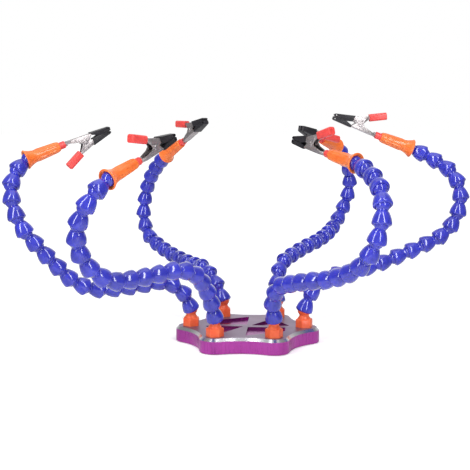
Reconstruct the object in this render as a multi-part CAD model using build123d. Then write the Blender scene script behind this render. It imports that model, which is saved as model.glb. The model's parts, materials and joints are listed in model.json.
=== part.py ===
from build123d import *
import os
from math import acos, cos, degrees, radians, sin, sqrt

# Helping-hands stand for soldering: a thick six-lobed base plate, a screw-in ball
# fitting on each lobe, six arms of ball-and-socket hose links, a flared nozzle on
# each arm and a small spring clip held in each nozzle by its fixed handle.
# Frame: origin at the centre of the face it stands on, +Z up, +Y to the back,
# the lobes at 0, 60, 120 ... degrees from +X. Millimetres.

# ---- base plate ---------------------------------------------------------------
arm_count = 6
fitting_circle_radius = 53.4      # centre of the plate to each fitting
lobe_radius = 14.3                # round end of each lobe, about its fitting
waist_distance = 55.0             # centre of the plate to the hollow between lobes
plate_thickness = 14.2
plate_chamfer = 2.5               # polished bevel round the top edge
underside_chamfer = 0.6
pad_thickness = 1.6               # non-slip pad let into the underside
pad_proud = 0.5                   # how far it stands out of the plate
pad_inset = 4.0                   # bare margin between pad and plate edge
seat_clearance = 0.05             # gap round anything pressed, screwed or glued in

# Four pockets in the top, a windmill about the centre: two wedges, each towards the
# gap between two lobes, and two larger ones with a straight side along Y.
pocket_depth = 2.4
wedge_web = 2.5                   # the wedge's long side, from the X axis
wedge_start = 3.5                 # its near point and far point along X
wedge_end = 40.0
wedge_apex_x = 22.0               # its third corner
wedge_apex_y = 35.0
quarter_web = 5.5                 # the larger pocket's sides, from the X axis
quarter_start = 0.7               # and from the Y axis
quarter_reach = 43.0              # how far it goes along Y
quarter_side = 36.0               # and along X, where it has half that reach
pocket_corner = 1.0               # cutter radius in the corners

# ---- ball fittings -------------------------------------------------------------
hex_across_flats = 14.3
hex_height = 7.8
hex_corner_chamfer = 0.9
stub_radius = 4.8                 # threaded stub in the plate
stub_length = 9.0
hole_beyond_stub = 1.0
ball_height = 16.0                # plate top to the ball's centre

# ---- hose links ---------------------------------------------------------------
link_count = 18                   # links in one arm
lower_link_count = 9              # of these, the links below the elbow joint
link_pitch = 15.0                 # socket centre to ball centre
ball_radius = 6.2
ball_clearance = 0.05             # radial gap between ball and socket
ball_flat = 4.2                   # ball centre to its flat end
neck_radius = 4.5
bore_radius = 3.1                 # the hose is hollow
bell_radius = 8.1                 # widest part of a link
bell_edge = 0.4                   # how far that is below the socket's centre
bell_rim = 1.75                   # rim of the bell, below the socket's centre
rim_radius = 6.9
mouth_radius = 6.15               # bell mouth, inside its rim
socket_lip = 1.5                  # where the socket ends and the mouth begins
shoulder_height = 9.3             # top of the dome, above the socket's centre
shoulder_radius = 5.3
dome_height = 4.3                 # a point half-way up the dome
dome_radius = 7.4
neck_ramp = 0.5                   # rise of the ramp from the dome to the neck
bend_limit = 25.0                 # the neck meets the mouth beyond this, degrees

# ---- nozzles --------------------------------------------------------------------
nozzle_length = 30.0              # socket centre to the tip
nozzle_mouth_radius = 8.8
nozzle_rim = 2.8                  # rim of the flare, below the socket's centre
nozzle_mouth_inner = 7.5
nozzle_lip = 0.9                  # roundness of the flare's edge
nozzle_flare_height = 2.2         # a point on the flare, and its radius
nozzle_flare_radius = 6.75
nozzle_waist_height = 6.8         # end of the flare
nozzle_waist_radius = 5.55
nozzle_tip_radius = 4.4
nozzle_grip_depth = 11.5          # how deep the clip's sleeve goes in
nozzle_rib_count = 6
nozzle_rib_width = 1.2
nozzle_rib_height = 0.35

# ---- clips ----------------------------------------------------------------------
sheet = 0.7                       # steel the jaws are stamped from
sleeve_radius = 3.3               # vinyl sleeve on the fixed handle
sleeve_out = 5.8                  # how far it shows beyond the nozzle
barrel_radius = 2.3               # rolled tail of the fixed handle
barrel_end = 9.5                  # depth of the tail inside the nozzle
pivot_x = 3.2                     # rivet, off the clip's long axis
pivot_z = 23.5                    # rivet, beyond the nozzle's tip
rivet_radius = 1.25
rivet_head_radius = 2.1
rivet_head_height = 0.6
rivet_clearance = 0.05
ear_radius = 3.6                  # steel round the rivet
fixed_width = 7.4                 # outside width of the fixed jaw
side_clearance = 0.12             # between the two jaws' walls
fixed_back_x = -2.0               # outer face of the fixed jaw
jaw_tip_z = 46.0                  # end of the steel
jaw_tip_width = 3.4
clip_tip_z = 50.0                 # end of the rubber covers
close_x = 1.15                    # plane where the two covers meet
close_gap = 0.3                   # left between the covers when shut
cover_wall = 0.8
cover_mouth_z = 31.0              # the covers begin here
notch_z = 36.5                    # root of the V between the covers
cover_hole_radius = 0.9
cover_hole_inset = 2.3            # hole to the cover's tip
moving_mouth_x = 9.0              # outer edge of the moving jaw at its cover's mouth
moving_tip_x = 3.5                # outer edge of the moving jaw at the tip
handle_knee_x = 13.3              # where the moving handle bends outwards
handle_knee_z = 18.6
handle_end_x = 21.0
handle_end_z = 4.6
handle_height = 2.5
handle_width = 4.2
handle_sleeve_length = 16.5
handle_sleeve_size = 6.9
handle_sleeve_corner = 1.9
spring_wire = 0.45                # wire radius
spring_turns = 4
jaw_open_angle = 23.0
jaw_lean = 3.0                    # the jaws lean off the fixed handle's line, degrees

# ---- arms -----------------------------------------------------------------------
# Each arm as it was bent by hand: the way the hose points, as (bearing, climb) in
# degrees, at link 1 and every third link after it; the last pair is the nozzle.
# roll turns the clip about the nozzle, 0 with the moving handle on top.
station_step = 3
arms = {
    "right": {"at": 0, "roll": 0,
              "way": [(10, 70), (5, 10), (15, 20), (5, 25), (40, 75), (150, 30), (190, 20)]},
    "back_right": {"at": 60, "roll": -90,
                   "way": [(110, 75), (60, 15), (55, 10), (70, 15), (45, 60), (245, 50), (240, 15)]},
    "back_left": {"at": 120, "roll": 0,
                  "way": [(155, 65), (125, 0), (130, 10), (130, 20), (10, 85), (305, 40), (310, 25)]},
    "left": {"at": 180, "roll": 180,
             "way": [(215, 65), (215, -5), (210, 0), (215, 45), (205, 50), (110, 65), (30, 20)]},
    "front_left": {"at": 240, "roll": 0,
                   "way": [(250, 65), (250, 35), (225, -5), (230, 0), (230, 50), (330, 60), (55, 20)]},
    "front_right": {"at": 300, "roll": 0,
                    "way": [(255, 70), (305, 15), (315, 10), (305, 25), (340, 75), (110, 30), (130, 10)]},
}
swivel_limit = 15.0               # an arm's turn on its fitting, either way, degrees
# How far each hexagon happened to be turned when its fitting was tight.
hex_turn = {"right": 16, "back_right": 29, "back_left": 34, "left": 30, "front_left": 4, "front_right": 8}

# ---- sizes that follow from the ones above ----------------------------------------
plate_bottom = pad_proud
plate_top = plate_bottom + plate_thickness
ball_z = plate_top + ball_height
socket_radius = ball_radius + ball_clearance
grip_radius = sleeve_radius + seat_clearance
fixed_inner_width = fixed_width - 2 * sheet
moving_width = fixed_inner_width - 2 * side_clearance
moving_inner_width = moving_width - 2 * sheet


def on_circle(radius, angle, z=0.0):
    return Vector(radius * cos(radians(angle)), radius * sin(radians(angle)), z)


def half_chord(radius, height):
    """Radius of the circle that a plane at this height cuts from a ball."""
    return sqrt(radius * radius - height * height)


def turned(points_and_arcs):
    """A solid of revolution about Z from a closed list of edges in the XZ plane."""
    return revolve(Plane.XZ * make_face(points_and_arcs), Axis.Z)


def side_slab(points, width):
    """A slab with this side view (x, z), centred on the XZ plane."""
    return extrude(make_face(Plane.XZ * Polyline(*points, close=True)), width / 2, both=True)


# ---- base plate -------------------------------------------------------------------
def lobed_outline(inset):
    """Six round lobes joined by hollow arcs that run smoothly into them."""
    lobe = lobe_radius - inset
    waist = waist_distance - inset
    # The hollow's circle touches both neighbouring lobes and passes the waist point.
    half_step = 180.0 / arm_count
    c = cos(radians(half_step))
    r = fitting_circle_radius
    hollow = (waist * waist + r * r - 2 * r * waist * c - lobe * lobe) / (2 * (lobe - waist + r * c))
    # Share of the way to the hollow's centre where the two touch. With the waist far
    # out both turn negative, and the arc swells round the lobes.
    touch = lobe / (hollow + lobe)
    edges = []
    for n in range(arm_count):
        angle = n * 360.0 / arm_count
        lobe_centre = on_circle(r, angle)
        hollow_before = on_circle(waist + hollow, angle - half_step)
        hollow_after = on_circle(waist + hollow, angle + half_step)
        next_lobe = on_circle(r, angle + 2 * half_step)
        start = lobe_centre + (hollow_before - lobe_centre) * touch
        end = lobe_centre + (hollow_after - lobe_centre) * touch
        following = next_lobe + (hollow_after - next_lobe) * touch
        edges.append(ThreePointArc(start, on_circle(r + lobe, angle), end))
        edges.append(ThreePointArc(end, on_circle(waist, angle + half_step), following))
    return make_face(Wire(edges))


def make_plate():
    plate = Pos(0, 0, plate_bottom) * extrude(lobed_outline(0), plate_thickness)
    plate = chamfer(plate.faces().sort_by(Axis.Z)[-1].edges(), plate_chamfer)
    plate = chamfer(plate.faces().sort_by(Axis.Z)[0].edges(), underside_chamfer)
    pad_pocket = extrude(lobed_outline(pad_inset - seat_clearance), pad_thickness)
    plate -= pad_pocket
    # Tapped holes for the fittings, a little deeper than their stubs.
    hole_depth = stub_length + hole_beyond_stub
    for n in range(arm_count):
        hole = Cylinder(stub_radius + seat_clearance, hole_depth, align=(Align.CENTER, Align.CENTER, Align.MAX))
        plate -= Location(on_circle(fitting_circle_radius, n * 360.0 / arm_count, plate_top)) * hole
    wedge = [(wedge_start, wedge_web), (wedge_end, wedge_web), (wedge_apex_x, wedge_apex_y)]
    quarter = [(-quarter_start, quarter_web), (-quarter_start, quarter_reach),
               (-quarter_side, quarter_reach / 2), (-quarter_side, quarter_web)]
    for points in (wedge, quarter):
        sketch = make_face(Polyline(*points, close=True))
        sketch = fillet(sketch.vertices(), pocket_corner)
        cutter = Pos(0, 0, plate_top - pocket_depth) * extrude(sketch, pocket_depth)
        plate -= cutter
        plate -= Rot(0, 0, 180) * cutter
    return plate


def make_pad():
    return extrude(lobed_outline(pad_inset), pad_thickness)


# ---- ball fittings ------------------------------------------------------------------
def make_fitting():
    """Hexagon, neck and ball above the plate, stub below; z = 0 at the plate's top."""
    body = extrude(RegularPolygon(hex_across_flats / 2, 6, major_radius=False), hex_height)
    # The top corners of the hexagon are turned off.
    corner = hex_across_flats / 2 / cos(radians(30))
    low = corner - hex_corner_chamfer
    trim = turned(Polyline((0, 0), (corner + 1, 0), (corner + 1, hex_height - hex_corner_chamfer - 0.6),
                           (low, hex_height), (0, hex_height), close=True))
    body = body & trim
    top = ball_height + ball_flat
    neck_meet = ball_height - half_chord(ball_radius, neck_radius)
    side = Polyline((half_chord(ball_radius, ball_flat), top), (0, top), (0, -stub_length),
                    (stub_radius - 0.5, -stub_length), (stub_radius, -stub_length + 0.5), (stub_radius, 0),
                    (stub_radius, hex_height / 2), (neck_radius + 0.8, hex_height), (neck_radius, hex_height + 0.8),
                    (neck_radius, neck_meet))
    ball = ThreePointArc((neck_radius, neck_meet), (ball_radius, ball_height),
                         (half_chord(ball_radius, ball_flat), top))
    body += turned(side + ball)
    bore = Cylinder(bore_radius, top + stub_length, align=(Align.CENTER, Align.CENTER, Align.MIN))
    return body - Pos(0, 0, -stub_length) * bore


# ---- hose links -----------------------------------------------------------------------
def make_link():
    """One hose link, socket centre at the origin, ball towards +Z."""
    socket_top = half_chord(socket_radius, bore_radius)
    lip_radius = half_chord(socket_radius, socket_lip)
    neck_meet = link_pitch - half_chord(ball_radius, neck_radius)
    ball_top = link_pitch + ball_flat
    ball_top_radius = half_chord(ball_radius, ball_flat)
    edges = [
        Line((mouth_radius, -bell_rim), (rim_radius, -bell_rim)),
        Line((rim_radius, -bell_rim), (bell_radius, -bell_edge)),
        ThreePointArc((bell_radius, -bell_edge), (dome_radius, dome_height), (shoulder_radius, shoulder_height)),
        Line((shoulder_radius, shoulder_height), (neck_radius, shoulder_height + neck_ramp)),
        Line((neck_radius, shoulder_height + neck_ramp), (neck_radius, neck_meet)),
        ThreePointArc((neck_radius, neck_meet), (ball_radius, link_pitch), (ball_top_radius, ball_top)),
        Line((ball_top_radius, ball_top), (bore_radius, ball_top)),
        Line((bore_radius, ball_top), (bore_radius, socket_top)),
        ThreePointArc((bore_radius, socket_top), (socket_radius, 0), (lip_radius, -socket_lip)),
        Line((lip_radius, -socket_lip), (mouth_radius, -bell_rim)),
    ]
    return turned(Wire(edges))


# ---- nozzles ----------------------------------------------------------------------------
def make_nozzle():
    """Flared nozzle, socket centre at the origin, tip towards +Z."""
    socket_top = half_chord(socket_radius, bore_radius)
    lip_radius = half_chord(socket_radius, socket_lip)
    grip_floor = nozzle_length - nozzle_grip_depth
    edges = [
        Line((nozzle_mouth_inner, -nozzle_rim), (nozzle_mouth_radius - nozzle_lip, -nozzle_rim)),
        ThreePointArc((nozzle_mouth_radius - nozzle_lip, -nozzle_rim),
                      (nozzle_mouth_radius - nozzle_lip * 0.29, -nozzle_rim + nozzle_lip * 0.29),
                      (nozzle_mouth_radius, -nozzle_rim + nozzle_lip)),
        ThreePointArc((nozzle_mouth_radius, -nozzle_rim + nozzle_lip),
                      (nozzle_flare_radius, nozzle_flare_height),
                      (nozzle_waist_radius, nozzle_waist_height)),
        Line((nozzle_waist_radius, nozzle_waist_height), (nozzle_tip_radius, nozzle_length - 0.3)),
        Line((nozzle_tip_radius, nozzle_length - 0.3), (nozzle_tip_radius - 0.3, nozzle_length)),
        Line((nozzle_tip_radius - 0.3, nozzle_length), (grip_radius, nozzle_length)),
        Line((grip_radius, nozzle_length), (grip_radius, grip_floor)),
        Line((grip_radius, grip_floor), (bore_radius - 0.4, grip_floor)),
        Line((bore_radius - 0.4, grip_floor), (bore_radius, socket_top)),
        ThreePointArc((bore_radius, socket_top), (socket_radius, 0), (lip_radius, -socket_lip)),
        Line((lip_radius, -socket_lip), (nozzle_mouth_inner, -nozzle_rim)),
    ]
    nozzle = turned(Wire(edges))
    # Moulded ribs run down the tube and die into the flare.
    rib_start = nozzle_waist_height - 1.0
    rib_end = nozzle_length - 1.0
    inside = nozzle_tip_radius - 0.6
    profile = make_face(Plane.XZ * Polyline((inside, rib_start),
                                            (nozzle_waist_radius + nozzle_rib_height, rib_start + 1.5),
                                            (nozzle_tip_radius + nozzle_rib_height, rib_end - 0.6),
                                            (inside, rib_end), close=True))
    rib = extrude(profile, nozzle_rib_width / 2, both=True)
    for n in range(nozzle_rib_count):
        nozzle += Rot(0, 0, n * 360.0 / nozzle_rib_count) * rib
    return nozzle


# ---- clips --------------------------------------------------------------------------------
# A clip's own frame: z = 0 where its sleeve leaves the nozzle, +Z to the jaws' tips,
# the moving handle on the +X side, the rivet along Y. Its jaws are drawn straight
# ahead and then leant over, as the handle that the nozzle holds is bent a little.
jaw_mouth_z = cover_mouth_z - 0.2
fixed_close_x = close_x - close_gap / 2 - cover_wall
moving_close_x = close_x + close_gap / 2 + cover_wall


def leaning(solid):
    """Tip a piece with the jaws, about the point where the steel leaves the sleeve."""
    return Pos(0, 0, sleeve_out) * Rot(0, jaw_lean, 0) * Pos(0, 0, -sleeve_out) * solid


def between_sides(stations):
    """Everything between two mirrored sides, from a list of (z, width)."""
    right = [(width / 2, z) for z, width in stations]
    left = [(-width / 2, z) for z, width in reversed(stations)]
    return extrude(make_face(Plane.YZ * Polyline(*right, *left, close=True)), 60, both=True)


def narrowed(stations, amount):
    return [(z, width - 2 * amount) for z, width in stations]


def jaw_front_stations(width):
    return [(jaw_mouth_z, width), (clip_tip_z + 0.5, jaw_tip_width)]


def rivet_hole(radius):
    return Pos(pivot_x, 0, pivot_z) * Rot(90, 0, 0) * Cylinder(radius, fixed_width * 2)


def make_fixed_jaw():
    """Channel with its back along the clip, ears round the rivet, a rolled tail."""
    start = sleeve_out + 0.4
    ear_x = pivot_x + ear_radius - 1.0
    outline = [(fixed_back_x, start), (fixed_back_x, jaw_tip_z), (fixed_close_x, jaw_tip_z),
               (fixed_close_x, notch_z), (fixed_close_x - 1.0, jaw_mouth_z),
               (pivot_x + 0.6, pivot_z + ear_radius), (ear_x, pivot_z + 1.4), (ear_x, pivot_z - 1.4),
               (pivot_x - 0.4, pivot_z - 5.0), (0.9, start + 4.0), (0.9, start)]
    plan = [(start - 1, 2 * barrel_radius), (start, 2 * barrel_radius), (start + 5, fixed_width)]
    plan += jaw_front_stations(fixed_width)
    outer = side_slab(outline, fixed_width) & between_sides(plan)
    back = fixed_back_x + sheet
    hollow = side_slab([(back, 0), (back, clip_tip_z), (handle_end_x, clip_tip_z), (handle_end_x, 0)], fixed_inner_width)
    hollow &= between_sides(narrowed(plan, sheet))
    tail = Pos(0, 0, -barrel_end) * Cylinder(barrel_radius, barrel_end + start + 1.5,
                                             align=(Align.CENTER, Align.CENTER, Align.MIN))
    tail_bore = Pos(0, 0, -barrel_end - 1) * Cylinder(barrel_radius - sheet, barrel_end + start + 2.6,
                                                      align=(Align.CENTER, Align.CENTER, Align.MIN))
    jaw = leaning(outer - hollow - rivet_hole(rivet_radius)) + tail
    return jaw - tail_bore


def make_rivet():
    length = fixed_width + 2 * rivet_head_height
    rivet = Cylinder(rivet_radius, length)
    for side in (-1, 1):
        head = Cylinder(rivet_head_radius, rivet_head_height)
        outside = head.faces().sort_by(Axis.Z)[-1 if side > 0 else 0]
        head = chamfer(outside.edges(), rivet_head_height / 2)
        rivet += Pos(0, 0, side * (fixed_width + rivet_head_height) / 2) * head
        # Each head is dimpled where it was closed.
        rivet -= Pos(0, 0, side * length / 2) * Cylinder(rivet_radius / 2, rivet_head_height)
    return Pos(pivot_x, 0, pivot_z) * Rot(90, 0, 0) * rivet


def make_spring():
    """Torsion spring wound round the rivet, a leg towards each handle."""
    coil_radius = rivet_radius + spring_wire + 0.2
    pitch = 2 * spring_wire * 0.9
    half_width = (spring_turns - 1) * pitch / 2
    spring = Pos(0, 0, -half_width) * Torus(coil_radius, spring_wire)
    for n in range(1, spring_turns):
        spring += Pos(0, 0, n * pitch - half_width) * Torus(coil_radius, spring_wire)
    spring = Rot(90, 0, 0) * spring
    leg_length = pivot_z - sleeve_out - 5.0
    for side, length in ((-1, leg_length), (1, leg_length * 0.7)):
        leg = Cylinder(spring_wire, length, align=(Align.CENTER, Align.CENTER, Align.MAX))
        spring += Pos(side * coil_radius, -side * half_width, 0) * leg
    return Pos(pivot_x, 0, pivot_z) * spring


def moving_edge(z):
    """Outer edge of the moving jaw's cover at this height."""
    share = (z - cover_mouth_z) / (clip_tip_z - cover_mouth_z)
    return moving_mouth_x + (moving_tip_x - moving_mouth_x) * share


# The moving handle beyond its knee, and the direction square to it, towards the nozzle.
handle_knee = Vector(handle_knee_x, 0, handle_knee_z)
handle_end = Vector(handle_end_x, 0, handle_end_z)
handle_along = (handle_end - handle_knee).normalized()
handle_inward = Vector(handle_along.Z, 0, -handle_along.X)


def beside_handle(point, inward, onward=0.0):
    moved = point + handle_inward * inward + handle_along * onward
    return (moved.X, moved.Z)


def make_moving_jaw():
    """Channel whose back runs from the tip over the rivet to the bent-out handle."""
    mouth_x = moving_edge(jaw_mouth_z) - cover_wall
    tip_x = moving_edge(jaw_tip_z) - cover_wall
    outline = [(tip_x, jaw_tip_z), (mouth_x, jaw_mouth_z), beside_handle(handle_knee, 0),
               beside_handle(handle_end, 0), beside_handle(handle_end, handle_height),
               beside_handle(handle_knee, handle_height), (pivot_x + 2.4, pivot_z - 2.8),
               (pivot_x - 0.8, pivot_z - 2.8), (pivot_x - 2.2, pivot_z - 0.6), (pivot_x - 2.2, pivot_z + 1.2),
               (pivot_x - 0.8, pivot_z + 2.8), (moving_close_x + 1.4, jaw_mouth_z), (moving_close_x, notch_z),
               (moving_close_x, jaw_tip_z)]
    plan = [(handle_end_z - 5, handle_width), (handle_knee_z - 0.4, handle_width),
            (handle_knee_z + 2.2, moving_width)]
    plan += jaw_front_stations(moving_width)
    outer = side_slab(outline, moving_width) & between_sides(plan)
    hollow = side_slab([(tip_x - sheet * 1.3, clip_tip_z), (tip_x - sheet, jaw_tip_z), (mouth_x - sheet, jaw_mouth_z),
                        beside_handle(handle_knee, sheet), beside_handle(handle_end, sheet, 2.0),
                        (-handle_knee_x, -handle_end_z), (-handle_knee_x, clip_tip_z)], moving_inner_width)
    hollow &= between_sides(narrowed(plan, sheet))
    return outer - hollow - rivet_hole(rivet_radius + rivet_clearance)


def cover_stations(width):
    grown = 2 * cover_wall
    return [(jaw_mouth_z, width + grown), (clip_tip_z + 0.5, jaw_tip_width + grown)]


def steel_envelope(corners, width):
    """The space inside a cover: the jaw's own outside, with a seat's clearance."""
    plan = jaw_front_stations(width)
    return side_slab(corners, width + 2 * seat_clearance) & between_sides(narrowed(plan, -seat_clearance))


def cover_hole(x):
    return Pos(x, 0, clip_tip_z - cover_hole_inset) * Rot(90, 0, 0) * Cylinder(cover_hole_radius, fixed_width * 2)


def make_fixed_cover():
    back = fixed_back_x - cover_wall
    face = close_x - close_gap / 2
    gap = seat_clearance
    outline = [(back, cover_mouth_z), (back, clip_tip_z - 1.2), (back + 0.8, clip_tip_z), (face - 0.6, clip_tip_z),
               (face, clip_tip_z - 1.0), (face, notch_z), (face - 1.6, cover_mouth_z + 0.4)]
    cover = side_slab(outline, fixed_width + 2 * cover_wall) & between_sides(cover_stations(fixed_width))
    steel = [(fixed_back_x - gap, jaw_mouth_z), (fixed_back_x - gap, jaw_tip_z + gap),
             (fixed_close_x + gap, jaw_tip_z + gap), (fixed_close_x + gap, notch_z),
             (fixed_close_x - 1.0 + gap, jaw_mouth_z)]
    cover -= steel_envelope(steel, fixed_width)
    return cover - cover_hole((back + face) / 2)


def make_moving_cover():
    face = close_x + close_gap / 2
    gap = seat_clearance
    mouth_x = moving_edge(jaw_mouth_z) - cover_wall
    tip_x = moving_edge(jaw_tip_z) - cover_wall
    outline = [(moving_edge(cover_mouth_z), cover_mouth_z), (moving_edge(clip_tip_z - 1.2), clip_tip_z - 1.2),
               (moving_edge(clip_tip_z) - 0.8, clip_tip_z), (face + 0.6, clip_tip_z), (face, clip_tip_z - 1.0),
               (face, notch_z), (face + 1.6, cover_mouth_z + 0.4)]
    cover = side_slab(outline, moving_width + 2 * cover_wall) & between_sides(cover_stations(moving_width))
    steel = [(mouth_x + gap, jaw_mouth_z), (tip_x + gap, jaw_tip_z + gap), (moving_close_x - gap, jaw_tip_z + gap),
             (moving_close_x - gap, notch_z), (moving_close_x + 1.4 - gap, jaw_mouth_z)]
    cover -= steel_envelope(steel, moving_width)
    return cover - cover_hole((face + moving_edge(clip_tip_z - cover_hole_inset)) / 2)


def make_fixed_sleeve():
    length = nozzle_grip_depth - 1.0 + sleeve_out
    sleeve = Cylinder(sleeve_radius, length, align=(Align.CENTER, Align.CENTER, Align.MAX))
    sleeve = chamfer(sleeve.faces().sort_by(Axis.Z)[-1].edges(), 0.4)
    sleeve -= Cylinder(barrel_radius + seat_clearance, 3 * length)
    return Pos(0, 0, sleeve_out) * sleeve


def make_moving_sleeve():
    """Soft square tube pushed on the moving handle as far as its knee."""
    middle = handle_end + handle_inward * (handle_height / 2)
    frame = Plane(origin=middle, x_dir=handle_inward, z_dir=handle_along * -1)
    over = 1.2
    tube = extrude(RectangleRounded(handle_sleeve_size, handle_sleeve_size, handle_sleeve_corner),
                   handle_sleeve_length)
    tube = chamfer(tube.faces().sort_by(Axis.Z)[0].edges(), 0.5)
    hole = extrude(Rectangle(handle_height + 2 * seat_clearance, handle_width + 2 * seat_clearance),
                   handle_sleeve_length * 3, both=True)
    return frame * Pos(0, 0, -over) * (tube - hole)


# ---- setting out an arm ---------------------------------------------------------------------
def pointing(bearing, climb):
    b, c = radians(bearing), radians(climb)
    return Vector(cos(c) * cos(b), cos(c) * sin(b), sin(c))


def turn_between(a, b, share):
    """The direction part of the way round from a to b."""
    angle = acos(max(-1.0, min(1.0, a.dot(b))))
    return (a * sin((1 - share) * angle) + b * sin(share * angle)).normalized()


def hose_directions(way):
    """One direction for each link, then the nozzle's."""
    stations = [pointing(bearing, climb) for bearing, climb in way]
    directions = []
    for n in range(link_count):
        place = n * (len(stations) - 1) / link_count
        before = int(place)
        directions.append(turn_between(stations[before], stations[before + 1], place - before))
    return directions + [stations[-1]]


def facing(origin, direction, across=None):
    """A frame at origin whose +Z is the direction, and +X as near across as it can be."""
    guide = across if across else Vector(0, 0, 1)
    flat = guide - direction * guide.dot(direction)
    return Plane(origin=origin, x_dir=flat.normalized(), z_dir=direction)


def bend(a, b):
    return degrees(acos(max(-1.0, min(1.0, a.dot(b)))))


def report_joint(name, point, axis, low, high):
    """Print a joint's place and limits, in metres and degrees."""
    place = " ".join(f"{v / 1000:.6f}" for v in (point.X, point.Y, point.Z))
    line = " ".join(f"{v:.6f}" for v in (axis.X, axis.Y, axis.Z))
    print("JOINT", name, place, line, f"{low:.1f} {high:.1f}")


def ball_limits(rest_bend):
    """A ball joint swings until its neck meets the mouth on either side."""
    return -(bend_limit + rest_bend), bend_limit - rest_bend


def save(name, *solids):
    shape = Compound(children=list(solids)) if len(solids) > 1 else solids[0]
    export_step(shape, f"parts/{name}.step")


os.makedirs("parts", exist_ok=True)
save("base_plate", make_plate())
save("non_slip_pad", make_pad())
fitting = make_fitting()
fittings = []
for arm_name, arm in arms.items():
    spot = on_circle(fitting_circle_radius, arm["at"], plate_top)
    fittings.append(Location(spot) * Rot(0, 0, hex_turn[arm_name]) * fitting)
save("ball_fittings", *fittings)

link = make_link()
nozzle = make_nozzle()
clip = {
    "fixed_jaw": [make_fixed_jaw(), leaning(make_rivet()), leaning(make_spring())],
    "moving_jaw": [leaning(make_moving_jaw())],
    "fixed_cover": [leaning(make_fixed_cover())],
    "moving_cover": [leaning(make_moving_cover())],
    "fixed_sleeve": [make_fixed_sleeve()],
    "moving_sleeve": [leaning(make_moving_sleeve())],
}

for arm_name, arm in arms.items():
    directions = hose_directions(arm["way"])
    joint = on_circle(fitting_circle_radius, arm["at"], ball_z)
    report_joint(f"{arm_name}_base_swivel", joint, Vector(0, 0, 1), -swivel_limit, swivel_limit)
    links = []
    for n in range(link_count):
        if n == lower_link_count:
            before, after = directions[n - 1], directions[n]
            axis = before.cross(after).normalized()
            report_joint(f"{arm_name}_elbow", joint, axis, *ball_limits(bend(before, after)))
        links.append(facing(joint, directions[n], Vector(0, 0, 1)) * link)
        joint = joint + directions[n] * link_pitch
    save(f"{arm_name}_hose_lower", *links[:lower_link_count])
    save(f"{arm_name}_hose_upper", *links[lower_link_count:])

    along = directions[-1]
    axis = directions[-2].cross(along).normalized()
    report_joint(f"{arm_name}_nozzle_tilt", joint, axis, *ball_limits(bend(directions[-2], along)))
    save(f"{arm_name}_nozzle", facing(joint, along) * nozzle)
    tip = joint + along * nozzle_length
    clip_frame = facing(tip, along) * Rot(0, 0, arm["roll"])
    report_joint(f"{arm_name}_clip_turn", tip, along, -180, 180)
    pivot = clip_frame * leaning(Pos(pivot_x, 0, pivot_z))
    hinge = (clip_frame * leaning(Pos(pivot_x, 1, pivot_z))).position - pivot.position
    report_joint(f"{arm_name}_jaw_open", pivot.position, hinge, 0, jaw_open_angle)
    for piece, solids in clip.items():
        save(f"{arm_name}_{piece}", *[clip_frame * solid for solid in solids])
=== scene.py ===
import bpy
import bmesh
import json
from math import acos, atan2, cos, pi, radians, sin, sqrt
from mathutils import Matrix, Vector


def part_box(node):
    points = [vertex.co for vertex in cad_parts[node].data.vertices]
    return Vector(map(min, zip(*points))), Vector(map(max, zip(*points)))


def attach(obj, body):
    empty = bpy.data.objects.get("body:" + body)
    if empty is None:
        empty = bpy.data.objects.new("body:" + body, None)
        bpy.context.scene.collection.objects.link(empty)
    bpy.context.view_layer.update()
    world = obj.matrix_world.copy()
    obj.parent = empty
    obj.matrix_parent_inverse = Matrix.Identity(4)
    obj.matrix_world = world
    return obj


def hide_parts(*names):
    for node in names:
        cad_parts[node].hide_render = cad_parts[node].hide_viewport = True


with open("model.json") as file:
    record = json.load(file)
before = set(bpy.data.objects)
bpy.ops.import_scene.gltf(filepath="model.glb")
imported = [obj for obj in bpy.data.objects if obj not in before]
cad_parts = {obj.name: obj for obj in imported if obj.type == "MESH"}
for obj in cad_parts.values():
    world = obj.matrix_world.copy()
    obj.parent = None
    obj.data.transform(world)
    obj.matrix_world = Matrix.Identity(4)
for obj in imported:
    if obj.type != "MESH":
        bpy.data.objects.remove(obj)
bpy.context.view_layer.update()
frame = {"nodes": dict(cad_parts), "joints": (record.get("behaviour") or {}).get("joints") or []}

# ---- Base plate -------------------------------------------------------------------
# A 14 mm slab of aluminium, milled to six round lobes and dyed purple by anodising.
# Four pockets are milled in the top like a windmill, and the top edge was cut to a bright
# bevel after the dye, so the bevel shows bare metal.
MM = 0.001
plate_low, plate_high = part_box("base_plate")
plate_top = plate_high.z
lobe_count = 6
lobe_step = 360 / lobe_count
fitting_circle = 53.4 * MM
lobe_size = 14.3 * MM
waist = 55.0 * MM
bevel_width = 2.5 * MM
bevel_break = 0.25 * MM
foot_break = 0.6 * MM
pocket_depth = 2.4 * MM
pocket_corner = 1.0
pad_inset = 3.95 * MM
pad_gap = 0.05 * MM
pad_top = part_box("non_slip_pad")[1].z + pad_gap


def around(radius, degrees, z=0.0):
    """A point at this radius and bearing, in degrees, about the upright axis."""
    return Vector((radius * cos(radians(degrees)), radius * sin(radians(degrees)), z))


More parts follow.
